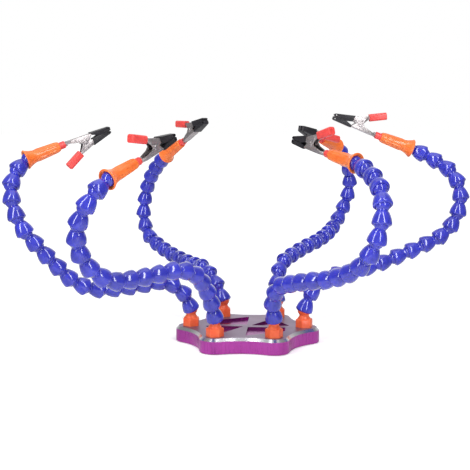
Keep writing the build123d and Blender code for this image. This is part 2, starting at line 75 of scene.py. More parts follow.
def lobed_ring(inset, z, steps=14):
    """Points round the plate: six lobes joined by hollow arcs that run smoothly into them."""
    lobe = lobe_size - inset
    waist_here = waist - inset
    c = cos(radians(lobe_step / 2))
    r = fitting_circle
    hollow = waist_here ** 2 + r * r - 2 * r * waist_here * c - lobe * lobe
    hollow /= 2 * (lobe - waist_here + r * c)
    points = []
    for n in range(lobe_count):
        middle = n * lobe_step
        lobe_at = around(r, middle)
        before = around(waist_here + hollow, middle - lobe_step / 2)
        after = around(waist_here + hollow, middle + lobe_step / 2)
        start = atan2(*(before - lobe_at).yx) - 2 * pi
        end = atan2(*(after - lobe_at).yx)
        while end - start > 2 * pi:
            start += 2 * pi
        for k in range(steps):
            turn = start + (end - start) * k / steps
            points.append(lobe_at + Vector((cos(turn), sin(turn), 0)) * lobe)
        join = lobe_at + (after - lobe_at).normalized() * lobe
        next_join = around(r, middle + lobe_step)
        next_join += (after - next_join).normalized() * lobe
        start = atan2(*(join - after).yx)
        end = atan2(*(next_join - after).yx)
        while end > start:
            end -= 2 * pi
        while start - end > pi:
            end += 2 * pi
        for k in range(steps):
            turn = start + (end - start) * k / steps
            points.append(after + Vector((cos(turn), sin(turn), 0)) * hollow)
    return [Vector((p.x, p.y, z)) for p in points]


def soften(mesh, sharpest=32):
    """Shade smooth, with a crisp line wherever two faces meet at more than this angle."""
    work = bmesh.new()
    work.from_mesh(mesh)
    for face in work.faces:
        face.smooth = True
    for edge in work.edges:
        edge.smooth = edge.is_manifold and edge.calc_face_angle(0.0) < radians(sharpest)
    work.to_mesh(mesh)
    work.free()


def new_piece(name, mesh, *materials):
    """An object in the scene with this mesh and these materials."""
    piece = bpy.data.objects.new(name, mesh)
    bpy.context.scene.collection.objects.link(piece)
    for material in materials:
        mesh.materials.append(material)
    return piece


def finished(piece):
    """Turn the piece, with its modifiers, into a plain mesh."""
    graph = bpy.context.evaluated_depsgraph_get()
    mesh = bpy.data.meshes.new_from_object(piece.evaluated_get(graph), preserve_all_data_layers=True,
                                           depsgraph=graph)
    piece.modifiers.clear()
    piece.data = mesh
    return piece


def add_node(tree, kind, settings=None, links=None):
    """Add a node: lower-case settings are its options, the others its sockets."""
    node = tree.nodes.new(kind)
    for key, value in (settings or {}).items():
        if isinstance(key, str) and key.islower():
            setattr(node, key, value)
        else:
            node.inputs[key].default_value = value
    for key, source in (links or {}).items():
        tree.links.new(source, node.inputs[key])
    return node


def colour(written):
    """An sRGB hex colour as Blender's linear one."""
    parts = [int(written[n:n + 2], 16) / 255 for n in (0, 2, 4)]
    return tuple(c / 12.92 if c <= 0.04045 else ((c + 0.055) / 1.055) ** 2.4 for c in parts) + (1.0,)


def new_material(name, **settings):
    """A material with its shader joined to the output; underscores in settings stand for spaces."""
    material = bpy.data.materials.new(name)
    material.use_nodes = True
    tree = material.node_tree
    tree.nodes.clear()
    shader = add_node(tree, "ShaderNodeBsdfPrincipled",
                      {key.replace("_", " "): value for key, value in settings.items()})
    add_node(tree, "ShaderNodeOutputMaterial", links={"Surface": shader.outputs["BSDF"]})
    return material, tree, shader


# Dyed anodising over a blasted top: satin, a little uneven where the dye took.
satin_top, tree, shader = new_material("anodised aluminium, satin top", Metallic=0.7, Roughness=0.4)
place = add_node(tree, "ShaderNodeTexCoord")
clouds = add_node(tree, "ShaderNodeTexNoise", {"Scale": 45.0, "Detail": 3.0},
                  {"Vector": place.outputs["Object"]})
dye = add_node(tree, "ShaderNodeValToRGB", links={"Fac": clouds.outputs["Fac"]})
dye.color_ramp.elements[0].color = colour("857089")
dye.color_ramp.elements[0].position = 0.3
dye.color_ramp.elements[1].color = colour("99859e")
dye.color_ramp.elements[1].position = 0.7
tree.links.new(dye.outputs["Color"], shader.inputs["Base Color"])
# The blasting left a grain about half a millimetre across.
grit = add_node(tree, "ShaderNodeTexNoise", {"Scale": 1900.0, "Detail": 2.0},
                {"Vector": place.outputs["Object"]})
bump = add_node(tree, "ShaderNodeBump", {"Strength": 0.25, "Distance": 0.00005},
                {"Height": grit.outputs["Fac"]})
tree.links.new(bump.outputs["Normal"], shader.inputs["Normal"])

# The milled rim keeps its cutter's fine upright marks and shows the dye at its strongest.
dyed_rim, tree, shader = new_material("anodised aluminium, milled rim", Metallic=0.9, Roughness=0.3)
place = add_node(tree, "ShaderNodeTexCoord")
squeeze = add_node(tree, "ShaderNodeMapping", {"Scale": (1.0, 1.0, 0.03)},
                   {"Vector": place.outputs["Object"]})
cutter = add_node(tree, "ShaderNodeTexNoise", {"Scale": 1300.0, "Detail": 2.0},
                  {"Vector": squeeze.outputs["Vector"]})
dye = add_node(tree, "ShaderNodeValToRGB", links={"Fac": cutter.outputs["Fac"]})
dye.color_ramp.elements[0].color = colour("ae449f")
dye.color_ramp.elements[1].color = colour("c053b1")
tree.links.new(dye.outputs["Color"], shader.inputs["Base Color"])
sheen = add_node(tree, "ShaderNodeMapRange", {"To Min": 0.24, "To Max": 0.32},
                 {"Value": cutter.outputs["Fac"]})
tree.links.new(sheen.outputs["Result"], shader.inputs["Roughness"])
bump = add_node(tree, "ShaderNodeBump", {"Strength": 0.05, "Distance": 0.00002},
                {"Height": cutter.outputs["Fac"]})
tree.links.new(bump.outputs["Normal"], shader.inputs["Normal"])

# The pockets were milled before the dye: shinier than the top, with straight cutter lines.
dyed_pocket, tree, shader = new_material("anodised aluminium, milled pockets", Metallic=0.9, Roughness=0.24)
place = add_node(tree, "ShaderNodeTexCoord")
lines = add_node(tree, "ShaderNodeTexWave",
                 {"Scale": 320.0, "Distortion": 0.6, "Detail": 1.0, "bands_direction": "Y"},
                 {"Vector": place.outputs["Object"]})
dye = add_node(tree, "ShaderNodeValToRGB", links={"Fac": lines.outputs["Fac"]})
dye.color_ramp.elements[0].color = colour("8a2c84")
dye.color_ramp.elements[1].color = colour("a84a9f")
tree.links.new(dye.outputs["Color"], shader.inputs["Base Color"])
bump = add_node(tree, "ShaderNodeBump", {"Strength": 0.15, "Distance": 0.00003},
                {"Height": lines.outputs["Fac"]})
tree.links.new(bump.outputs["Normal"], shader.inputs["Normal"])

# Bare aluminium turned bright, with the fine rings that the cutter leaves.
bright_bevel, tree, shader = new_material("bright cut aluminium bevel", Metallic=1.0, Roughness=0.22)
place = add_node(tree, "ShaderNodeTexCoord")
rings = add_node(tree, "ShaderNodeTexWave",
                 {"Scale": 420.0, "wave_type": "RINGS", "rings_direction": "Z", "Distortion": 0.4},
                 {"Vector": place.outputs["Object"]})
metal = add_node(tree, "ShaderNodeValToRGB", links={"Fac": rings.outputs["Fac"]})
metal.color_ramp.elements[0].color = colour("c4c3ca")
metal.color_ramp.elements[1].color = colour("dcdbe1")
tree.links.new(metal.outputs["Color"], shader.inputs["Base Color"])
bump = add_node(tree, "ShaderNodeBump", {"Strength": 0.05, "Distance": 0.00002},
                {"Height": rings.outputs["Fac"]})
tree.links.new(bump.outputs["Normal"], shader.inputs["Normal"])

# The slab goes up ring by ring: recess for the pad, foot, side, bevel and top.
on_top, on_rim, on_pocket, on_bevel = range(4)
first_bevel_ring = 4
work = bmesh.new()
levels = [(pad_inset, pad_top), (pad_inset, plate_low.z), (foot_break, plate_low.z),
          (0.0, plate_low.z + foot_break), (0.0, plate_top - bevel_width),
          (bevel_width - bevel_break, plate_top - bevel_break), (bevel_width, plate_top)]
rings = [[work.verts.new(p) for p in lobed_ring(inset, z)] for inset, z in levels]
for n in range(len(rings) - 1):
    count = len(rings[n])
    for k in range(count):
        face = work.faces.new((rings[n][k], rings[n][(k + 1) % count], rings[n + 1][(k + 1) % count],
                               rings[n + 1][k]))
        face.material_index = on_bevel if n >= first_bevel_ring else on_rim
work.faces.new(rings[-1]).material_index = on_top
work.faces.new(list(reversed(rings[0]))).material_index = on_rim
plate_mesh = bpy.data.meshes.new("base_plate_finish")
work.to_mesh(plate_mesh)
work.free()
plate = new_piece("base_plate_finish", plate_mesh, satin_top, dyed_rim, dyed_pocket, bright_bevel)


def rounded(corners, radius, steps=4):
    """The outline of these corners, with each one rounded."""
    points = []
    for n, corner in enumerate(corners):
        back = (corners[n - 1] - corner).normalized()
        on = (corners[(n + 1) % len(corners)] - corner).normalized()
        half = back.angle(on) / 2
        centre = corner + (back + on).normalized() * radius / sin(half)
        first = corner + back * radius / (sin(half) / cos(half)) - centre
        last = corner + on * radius / (sin(half) / cos(half)) - centre
        for k in range(steps + 1):
            share = k / steps
            points.append(centre + (first * (1 - share) + last * share).normalized() * radius)
    return points


# Two wedges and two larger pockets with a straight side, in millimetres.
wedge = [Vector((3.5, 2.5, 0)), Vector((40.0, 2.5, 0)), Vector((22.0, 35.0, 0))]
quarter = [Vector((-0.7, 5.5, 0)), Vector((-0.7, 43.0, 0)), Vector((-36.0, 21.5, 0)), Vector((-36.0, 5.5, 0))]
work = bmesh.new()
for pocket in (wedge, quarter):
    for side in (1, -1):
        outline = [Vector((p.x * side, p.y * side, 0)) * MM for p in rounded(pocket, pocket_corner)]
        floor = [work.verts.new(p + Vector((0, 0, plate_top - pocket_depth))) for p in outline]
        lid = [work.verts.new(p + Vector((0, 0, plate_top + MM))) for p in outline]
        work.faces.new(floor)
        work.faces.new(lid)
        for n in range(len(floor)):
            work.faces.new((floor[n - 1], floor[n], lid[n], lid[n - 1]))
bmesh.ops.recalc_face_normals(work, faces=work.faces)
for face in work.faces:
    face.material_index = on_pocket
pocket_mesh = bpy.data.meshes.new("pocket cutter")
work.to_mesh(pocket_mesh)
work.free()
pocket_cutter = new_piece("pocket_cutter", pocket_mesh, satin_top, dyed_rim, dyed_pocket, bright_bevel)
cut = plate.modifiers.new("pockets", "BOOLEAN")
cut.object = pocket_cutter
cut.operation = "DIFFERENCE"
cut.solver = "EXACT"
finished(plate)
bpy.data.objects.remove(pocket_cutter)
soften(plate.data, 24)
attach(plate, "base")
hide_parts("base_plate")

# ---- Non-slip pad -------------------------------------------------------------------
# A sheet of black rubber glued into the underside, half a millimetre proud, so that
# the stand doesn't slide. It was cut from calendered sheet with a fine cloth print.
sheet_rubber, tree, shader = new_material("calendered sheet rubber", Roughness=0.85)
place = add_node(tree, "ShaderNodeTexCoord")
weave = add_node(tree, "ShaderNodeTexVoronoi", {"Scale": 900.0}, {"Vector": place.outputs["Object"]})
dust = add_node(tree, "ShaderNodeTexNoise", {"Scale": 60.0, "Detail": 4.0},
                {"Vector": place.outputs["Object"]})
shade = add_node(tree, "ShaderNodeValToRGB", links={"Fac": dust.outputs["Fac"]})
shade.color_ramp.elements[0].color = colour("1a1a1c")
shade.color_ramp.elements[1].color = colour("2b2b2e")
tree.links.new(shade.outputs["Color"], shader.inputs["Base Color"])
bump = add_node(tree, "ShaderNodeBump", {"Strength": 0.4, "Distance": 0.0001},
                {"Height": weave.outputs["Distance"]})
tree.links.new(bump.outputs["Normal"], shader.inputs["Normal"])
frame["nodes"]["non_slip_pad"].data.materials.clear()
frame["nodes"]["non_slip_pad"].data.materials.append(sheet_rubber)

# ---- Ball fittings --------------------------------------------------------------------
# One orange acetal fitting is screwed into each lobe: a hexagon for the spanner, and a
# ball on a short neck that the first hose link snaps over. Moulded, so every edge is
# a little round.
joints = {joint["name"]: joint for joint in frame["joints"]}
arms = ["right", "back_right", "back_left", "left", "front_left", "front_right"]
hex_turn = {"right": 16, "back_right": 29, "back_left": 34, "left": 30, "front_left": 4, "front_right": 8}
hex_flats = 14.3 * MM
hex_height = 7.8 * MM
hex_corner = 0.9 * MM
ball_radius = 6.2 * MM
ball_flat = 4.2 * MM
neck_radius = 4.5 * MM
bore_radius = 3.1 * MM
ball_height = joints["right_base_swivel"]["pos_m"][2] - plate_top


def arc(centre, radius, start, end, steps):
    """Points (radius from the axis, height) on an arc, both ends included; degrees from outwards."""
    turns = [radians(start + (end - start) * k / steps) for k in range(steps + 1)]
    return [(centre[0] + radius * cos(t), centre[1] + radius * sin(t)) for t in turns]


def lathe(name, outline, steps, swell=None):
    """Turn a closed outline of (radius, height) about Z; swell(turn, radius, height) adds to it."""
    work = bmesh.new()
    columns = []
    for n in range(steps):
        turn = 2 * pi * n / steps
        column = []
        for radius, height in outline:
            out = radius + (swell(turn, radius, height) if swell else 0.0)
            column.append(work.verts.new((out * cos(turn), out * sin(turn), height)))
        columns.append(column)
    for n in range(steps):
        here, there = columns[n - 1], columns[n]
        for k in range(len(outline)):
            work.faces.new((here[k - 1], there[k - 1], there[k], here[k]))
    bmesh.ops.recalc_face_normals(work, faces=work.faces)
    mesh = bpy.data.meshes.new(name)
    work.to_mesh(mesh)
    work.free()
    soften(mesh, 38)
    return mesh


def moulded_plastic(name, deep, pale, roughness, coat):
    """Moulded acetal: an even colour but for soft clouds, and sinks that show as faint waves."""
    material, tree, shader = new_material(name, Roughness=roughness, IOR=1.48, Coat_Weight=coat,
                                          Coat_Roughness=0.08, Subsurface_Weight=0.04,
                                          Subsurface_Scale=0.004)
    place = add_node(tree, "ShaderNodeTexCoord")
    clouds = add_node(tree, "ShaderNodeTexNoise", {"Scale": 140.0, "Detail": 2.0},
                      {"Vector": place.outputs["Object"]})
    ramp = add_node(tree, "ShaderNodeValToRGB", links={"Fac": clouds.outputs["Fac"]})
    ramp.color_ramp.elements[0].color = colour(deep)
    ramp.color_ramp.elements[0].position = 0.3
    ramp.color_ramp.elements[1].color = colour(pale)
    ramp.color_ramp.elements[1].position = 0.7
    tree.links.new(ramp.outputs["Color"], shader.inputs["Base Color"])
    # Sinks are wide and shallow, a few millimetres across; the mould's own grain is finer.
    sinks = add_node(tree, "ShaderNodeTexNoise", {"Scale": 260.0, "Detail": 1.0},
                     {"Vector": place.outputs["Object"]})
    grain = add_node(tree, "ShaderNodeTexNoise", {"Scale": 2600.0, "Detail": 2.0},
                     {"Vector": place.outputs["Object"]})
    wide = add_node(tree, "ShaderNodeBump", {"Strength": 0.2, "Distance": 0.0002},
                    {"Height": sinks.outputs["Fac"]})
    fine = add_node(tree, "ShaderNodeBump", {"Strength": 0.03, "Distance": 0.00003},
                    {"Height": grain.outputs["Fac"], "Normal": wide.outputs["Normal"]})
    tree.links.new(fine.outputs["Normal"], shader.inputs["Normal"])
    return material, tree, ramp


fitting_acetal, _, _ = moulded_plastic("orange acetal, satin moulding", "fa6136", "ff7444", 0.38, 0.15)


def chord(radius, height):
    """The radius of the circle that a plane at this height cuts from a ball."""
    return sqrt(radius * radius - height * height)


# The neck starts a little way down in the plate and leaves the hexagon in a soft collar.
collar_radius = 6.2 * MM
stub_depth = 3 * MM
ball_outline = [(bore_radius, ball_height + ball_flat), (bore_radius, -stub_depth),
                (neck_radius, -stub_depth), (collar_radius, hex_height - 0.3 * MM),
                (collar_radius - 0.1 * MM, hex_height + 0.4 * MM),
                (collar_radius - 0.5 * MM, hex_height + 1.1 * MM),
                (collar_radius - 1.1 * MM, hex_height + 1.8 * MM),
                (neck_radius + 0.2 * MM, hex_height + 2.5 * MM), (neck_radius, hex_height + 3.2 * MM)]
low_turn = -acos(neck_radius / ball_radius) * 180 / pi
high_turn = acos(chord(ball_radius, ball_flat) / ball_radius) * 180 / pi
ball_outline += arc((0, ball_height), ball_radius, low_turn, high_turn, 12)
ball_mesh = lathe("ball and neck", ball_outline, 40)

# The hexagon: rings with rounded corners, drawn in at the top, round a hole for the neck.
work = bmesh.new()
corner = hex_flats / 2 / cos(radians(30))
flat = [around(corner, 60 * n) for n in range(6)]
levels = [(0.0, 0.0), (0.0, hex_height - hex_corner), (0.25 * MM, hex_height - 0.35 * MM),
          (0.8 * MM, hex_height)]
rings = []
for inset, z in levels:
    scale = 1 - inset / (hex_flats / 2)
    shrunk = [c * scale for c in flat]
    rings.append([work.verts.new((p.x, p.y, z)) for p in rounded(shrunk, hex_corner)])
for n in range(len(rings) - 1):
    for k in range(len(rings[0])):
        work.faces.new((rings[n][k - 1], rings[n][k], rings[n + 1][k], rings[n + 1][k - 1]))
count = len(rings[0])
inner = [work.verts.new(around(neck_radius, 360 * k / count, hex_height)) for k in range(count)]
facing = rings[-1][0].co.xy.normalized() * neck_radius
away = [(vert.co.xy - facing).length for vert in inner]
first = away.index(min(away))
inner = inner[first:] + inner[:first]
inner_low = [work.verts.new((v.co.x, v.co.y, 0.0)) for v in inner]
for k in range(len(inner)):
    work.faces.new((rings[-1][k - 1], rings[-1][k], inner[k], inner[k - 1]))
    work.faces.new((inner[k - 1], inner[k], inner_low[k], inner_low[k - 1]))
    work.faces.new((inner_low[k - 1], inner_low[k], rings[0][k], rings[0][k - 1]))
bmesh.ops.recalc_face_normals(work, faces=work.faces)
work.from_mesh(ball_mesh)
fitting_mesh = bpy.data.meshes.new("ball fitting")
work.to_mesh(fitting_mesh)
work.free()
soften(fitting_mesh, 40)
one_fitting = new_piece("one_fitting", fitting_mesh, fitting_acetal)


def scatter_tree(name):
    """An empty Geometry Nodes tree that will set copies of one piece on points."""
    tree = bpy.data.node_groups.new(name, "GeometryNodeTree")
    tree.interface.new_socket("Geometry", in_out="INPUT", socket_type="NodeSocketGeometry")
    tree.interface.new_socket("Piece", in_out="INPUT", socket_type="NodeSocketObject")
    tree.interface.new_socket("Finish", in_out="INPUT", socket_type="NodeSocketMaterial")
    tree.interface.new_socket("Size", in_out="INPUT", socket_type="NodeSocketFloat").default_value = 1.0
    tree.interface.new_socket("Geometry", in_out="OUTPUT", socket_type="NodeSocketGeometry")
    return tree


def hand_out(tree, given, geometry):
    """End a tree: its copies are made real, dressed in the given finish and handed out."""
    solid = add_node(tree, "GeometryNodeRealizeInstances", links={"Geometry": geometry})
    dressed = add_node(tree, "GeometryNodeSetMaterial",
                       links={"Geometry": solid.outputs["Geometry"], "Material": given.outputs["Finish"]})
    add_node(tree, "NodeGroupOutput", links={"Geometry": dressed.outputs["Geometry"]})


# A point for each lobe carries the turn that its hexagon stopped at.
fitting_tree = scatter_tree("fittings on the lobes")
given = add_node(fitting_tree, "NodeGroupInput")
source = add_node(fitting_tree, "GeometryNodeObjectInfo", links={"Object": given.outputs["Piece"]})
stopped = add_node(fitting_tree, "GeometryNodeInputNamedAttribute",
                   {"data_type": "FLOAT", "Name": "stopped_at"})
upright = add_node(fitting_tree, "ShaderNodeCombineXYZ", links={"Z": stopped.outputs["Attribute"]})
placed = add_node(fitting_tree, "GeometryNodeInstanceOnPoints",
                  links={"Points": given.outputs["Geometry"], "Instance": source.outputs["Geometry"],
                         "Rotation": upright.outputs["Vector"], "Scale": given.outputs["Size"]})
hand_out(fitting_tree, given, placed.outputs["Instances"])


def set_input(modifier, name, value):
    """Set a tree's input by its own name."""
    for item in modifier.node_group.interface.items_tree:
        if item.item_type == "SOCKET" and item.in_out == "INPUT" and item.name == name:
            modifier[item.identifier] = value


spots = bpy.data.meshes.new("lobe centres")
spots.from_pydata([(*joints[f"{arm}_base_swivel"]["pos_m"][:2], plate_top) for arm in arms], [], [])
turns = spots.attributes.new("stopped_at", "FLOAT", "POINT")
for n, arm in enumerate(arms):
    turns.data[n].value = radians(hex_turn[arm])
fittings = new_piece("ball_fittings_finish", spots)
scatter = fittings.modifiers.new("fittings", "NODES")
scatter.node_group = fitting_tree
set_input(scatter, "Piece", one_fitting)
set_input(scatter, "Finish", fitting_acetal)
finished(fittings)
bpy.data.objects.remove(one_fitting)
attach(fittings, "base")
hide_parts("ball_fittings")

# ---- Hose arms --------------------------------------------------------------------------
# Eighteen blue acetal links make an arm. Each link is a bell that snaps over the ball
# below it, and carries the next ball on its own neck, so every one may be tilted and
# stays where it was put. An arm's bend was set by hand, a few degrees at each ball.
pitch = 15.0 * MM
link_count = 18
lower_count = 9
# The socket is a little roomier than the ball, so that their facets never cross.
socket_radius = 6.3 * MM
lip = 1.5 * MM
rim = 1.75 * MM
bell_radius = 8.1 * MM
# The way that each arm points, as bearing and climb, at every third link.
way = {
    "right": [(10, 70), (5, 10), (15, 20), (5, 25), (40, 75), (150, 30), (190, 20)],
    "back_right": [(110, 75), (60, 15), (55, 10), (70, 15), (45, 60), (245, 50), (240, 15)],
    "back_left": [(155, 65), (125, 0), (130, 10), (130, 20), (10, 85), (305, 40), (310, 25)],
    "left": [(215, 65), (215, -5), (210, 0), (215, 45), (205, 50), (110, 65), (30, 20)],
    "front_left": [(250, 65), (250, 35), (225, -5), (230, 0), (230, 50), (330, 60), (55, 20)],
    "front_right": [(255, 70), (305, 15), (315, 10), (305, 25), (340, 75), (110, 30), (130, 10)],
}


def pointing(bearing, climb):
    """The direction of a compass bearing and a climb, in degrees."""
    return around(cos(radians(climb)), bearing, sin(radians(climb)))


def ball_centres(arm):
    """The centres of the arm's balls, from its fitting up."""
    stations = [pointing(*pair) for pair in way[arm]]
    here = Vector(joints[f"{arm}_base_swivel"]["pos_m"])
    centres = [here]
    for n in range(link_count):
        place = n * (len(stations) - 1) / link_count
        before, share = int(place), place - int(place)
        angle = stations[before].angle(stations[before + 1])
        along = stations[before] * sin((1 - share) * angle) + stations[before + 1] * sin(share * angle)
        here = here + along.normalized() * pitch
        centres.append(here)
    return centres


hose_acetal, tree, ramp = moulded_plastic("royal blue acetal, glossy moulding", "2a2eac", "383dc8", 0.11, 1.0)
# Links come from different shots of the press, so no two are quite the same blue.
shot = add_node(tree, "ShaderNodeAttribute", {"attribute_name": "shade"})
shift = add_node(tree, "ShaderNodeHueSaturation", {"Hue": 0.5, "Saturation": 1.0},
                 {"Value": shot.outputs["Fac"], "Color": ramp.outputs["Color"]})
shader = next(node for node in tree.nodes if node.type == "BSDF_PRINCIPLED")
tree.links.new(shift.outputs["Color"], shader.inputs["Base Color"])

# One link: socket, mouth and rim, the bell's widest edge, dome, shoulder, neck and ball.
socket_top = chord(socket_radius, bore_radius)
link_outline = [(bore_radius, pitch + ball_flat), (bore_radius, socket_top)]
inside_low = -acos(chord(socket_radius, lip) / socket_radius) * 180 / pi
inside_high = acos(bore_radius / socket_radius) * 180 / pi
socket_arc = arc((0, 0), socket_radius, inside_high - 12, inside_low, 6)
link_outline += socket_arc
link_outline += [(6.17 * MM, -rim + 0.08 * MM), (6.3 * MM, -rim), (6.8 * MM, -rim),
                 (6.98 * MM, -rim + 0.1 * MM), (7.95 * MM, -0.72 * MM), (8.07 * MM, -0.52 * MM),
                 (bell_radius, -0.2 * MM)]


def sweep(through, share):
    """A point on the round sweep through three points, at this share of its way."""
    weights = ((1 - share) * (1 - 2 * share), 4 * share * (1 - share), share * (2 * share - 1))
    return tuple(sum(weight * point[axis] for weight, point in zip(weights, through)) for axis in (0, 1))


dome_points = [(bell_radius, -0.4 * MM), (7.4 * MM, 4.3 * MM), (5.3 * MM, 9.3 * MM)]
link_outline += [sweep(dome_points, 0.05 + 0.92 * k / 9) for k in range(1, 10)]
link_outline += [(5.12 * MM, 9.52 * MM), (4.8 * MM, 9.72 * MM), (4.58 * MM, 9.88 * MM)]
link_outline += arc((0, pitch), ball_radius, low_turn, high_turn, 10)
link_mesh = lathe("hose link", link_outline, 32)
one_link = new_piece("one_link", link_mesh, hose_acetal)

# Each edge between two ball centres takes one link, turned along the edge and given
# a turn of its own about it.
hose_tree = scatter_tree("links along an arm")
hose_tree.interface.new_socket("Shade spread", in_out="INPUT",
                               socket_type="NodeSocketFloat").default_value = 0.0
hose_tree.interface.new_socket("Seed", in_out="INPUT", socket_type="NodeSocketInt").default_value = 1
given = add_node(hose_tree, "NodeGroupInput")
source = add_node(hose_tree, "GeometryNodeObjectInfo", links={"Object": given.outputs["Piece"]})
ends = add_node(hose_tree, "GeometryNodeInputMeshEdgeVertices")
along = add_node(hose_tree, "ShaderNodeVectorMath", {"operation": "SUBTRACT"},
                 {0: ends.outputs["Position 2"], 1: ends.outputs["Position 1"]})
kept = add_node(hose_tree, "GeometryNodeStoreNamedAttribute",
                {"data_type": "FLOAT_VECTOR", "domain": "EDGE", "Name": "along"},
                {"Geometry": given.outputs["Geometry"], "Value": along.outputs["Vector"]})
points = add_node(hose_tree, "GeometryNodeMeshToPoints", {"mode": "EDGES"},
                  {"Mesh": kept.outputs["Geometry"], "Position": ends.outputs["Position 1"]})
recall = add_node(hose_tree, "GeometryNodeInputNamedAttribute",
                  {"data_type": "FLOAT_VECTOR", "Name": "along"})
aim = add_node(hose_tree, "FunctionNodeAlignRotationToVector", {"axis": "Z"},
               {"Vector": recall.outputs["Attribute"]})
spin = add_node(hose_tree, "FunctionNodeRandomValue", {"data_type": "FLOAT", 2: 0.0, 3: 6.283},
                {"Seed": given.outputs["Seed"]})
about = add_node(hose_tree, "ShaderNodeCombineXYZ", links={"Z": spin.outputs[1]})
turned_round = add_node(hose_tree, "FunctionNodeRotateRotation", {"rotation_space": "LOCAL"},
                        {"Rotation": aim.outputs["Rotation"], "Rotate By": about.outputs["Vector"]})
low_shade = add_node(hose_tree, "ShaderNodeMath", {"operation": "SUBTRACT", 0: 1.0},
                     {1: given.outputs["Shade spread"]})
high_shade = add_node(hose_tree, "ShaderNodeMath", {"operation": "ADD", 0: 1.0},
                      {1: given.outputs["Shade spread"]})
pick = add_node(hose_tree, "FunctionNodeRandomValue", {"data_type": "FLOAT"},
                {2: low_shade.outputs["Value"], 3: high_shade.outputs["Value"],
                 "Seed": given.outputs["Seed"]})
placed = add_node(hose_tree, "GeometryNodeInstanceOnPoints",
                  links={"Points": points.outputs["Points"], "Instance": source.outputs["Geometry"],
                         "Rotation": turned_round.outputs["Rotation"], "Scale": given.outputs["Size"]})
shaded = add_node(hose_tree, "GeometryNodeStoreNamedAttribute",
                  {"data_type": "FLOAT", "domain": "INSTANCE", "Name": "shade"},
                  {"Geometry": placed.outputs["Instances"], "Value": pick.outputs[1]})
hand_out(hose_tree, given, shaded.outputs["Geometry"])

for number, arm in enumerate(arms):
    centres = ball_centres(arm)
    halves = {"lower": centres[:lower_count + 1], "upper": centres[lower_count:]}
    for half, route in halves.items():
        line = bpy.data.meshes.new(f"{arm} {half} ball centres")
        line.from_pydata([tuple(p) for p in route], [(n, n + 1) for n in range(len(route) - 1)], [])
        hose = new_piece(f"{arm}_hose_{half}_links", line)
        scatter = hose.modifiers.new("links", "NODES")
        scatter.node_group = hose_tree
        set_input(scatter, "Piece", one_link)
        set_input(scatter, "Finish", hose_acetal)
        set_input(scatter, "Shade spread", 0.07)
        set_input(scatter, "Seed", number * 2 + (half == "upper"))
        finished(hose)
        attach(hose, f"{arm}_{half}")
        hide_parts(f"{arm}_hose_{half}")
bpy.data.objects.remove(one_link)

# ---- Nozzles ----------------------------------------------------------------------------
# A flared nozzle of bright orange acetal snaps over each arm's last ball. Its tube has
# six moulded ribs and grips the clip's sleeve.
nozzle_length = 30.0 * MM
flare_rim = 2.8 * MM
flare_radius = 8.8 * MM
waist_height = 6.8 * MM
waist_radius = 5.55 * MM
tip_radius = 4.4 * MM
grip_radius = 3.35 * MM
grip_floor = nozzle_length - 11.5 * MM
rib_count = 6
rib_foot = 6.5 * MM
rib_height = 0.5 * MM
nozzle_acetal, _, _ = moulded_plastic("bright orange acetal, glossy moulding", "fb722c", "ff8540", 0.25, 0.25)
flare = [(7.5 * MM, -flare_rim + 0.1 * MM), (7.65 * MM, -flare_rim), (7.9 * MM, -flare_rim),
         (8.25 * MM, -flare_rim + 0.08 * MM), (8.54 * MM, -flare_rim + 0.26 * MM),
         (8.74 * MM, -flare_rim + 0.55 * MM), (flare_radius, -flare_rim + 0.9 * MM)]
# From the round lip the wall curves in to the waist, as in a trumpet's bell.
flare_points = [(flare_radius, -1.9 * MM), (6.75 * MM, 2.2 * MM), (waist_radius, waist_height)]
flare += [sweep(flare_points, k / 9) for k in range(1, 10)]
taper = waist_radius - tip_radius
tube_length = nozzle_length - 0.3 * MM - waist_height
tube = [(waist_radius - taper * k / 8, waist_height + tube_length * k / 8) for k in range(1, 8)]
tip_end = [(4.42 * MM, nozzle_length - 0.6 * MM), (4.35 * MM, nozzle_length - 0.25 * MM),
           (4.1 * MM, nozzle_length), (3.6 * MM, nozzle_length), (grip_radius, nozzle_length - 0.3 * MM),
           (grip_radius, grip_floor), (2.7 * MM, grip_floor), (bore_radius, socket_top)]
nozzle_outline = flare + tube + tip_end + socket_arc


def ribbed(turn, radius, height):
    """Six ribs on the outside of the tube, dying into the flare."""
    if radius < 4.38 * MM or height < rib_foot or height > nozzle_length - 0.9 * MM:
        return 0.0
    each = 2 * pi / rib_count
    beside = abs((turn / each + 0.5) % 1.0 - 0.5) * each * radius
    crest = max(0.0, min(1.0, (0.85 * MM - beside) / (0.4 * MM)))
    rise = min(1.0, (height - rib_foot) / (3 * MM))
    return rib_height * crest * crest * (3 - 2 * crest) * rise


def stand(origin, along, across=None):
    """A frame at origin with its Z along the direction, and X as near to across as it can be."""
    z = Vector(along).normalized()
    guide = Vector(across) if across else Vector((0, 0, 1))
    x = (guide - z * guide.dot(z)).normalized()
    y = z.cross(x)
    origin = Vector(origin)
    return Matrix(((x.x, y.x, z.x, origin.x), (x.y, y.y, z.y, origin.y), (x.z, y.z, z.z, origin.z),
                   (0, 0, 0, 1)))


for arm in arms:
    tip = joints[f"{arm}_clip_turn"]
    mesh = lathe(f"{arm} nozzle", nozzle_outline, 96, ribbed)
    mesh.transform(stand(joints[f"{arm}_nozzle_tilt"]["pos_m"], tip["axis"]))
    nozzle = new_piece(f"{arm}_nozzle_finish", mesh, nozzle_acetal)
    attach(nozzle, f"{arm}_nozzle_body")
    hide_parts(f"{arm}_nozzle")

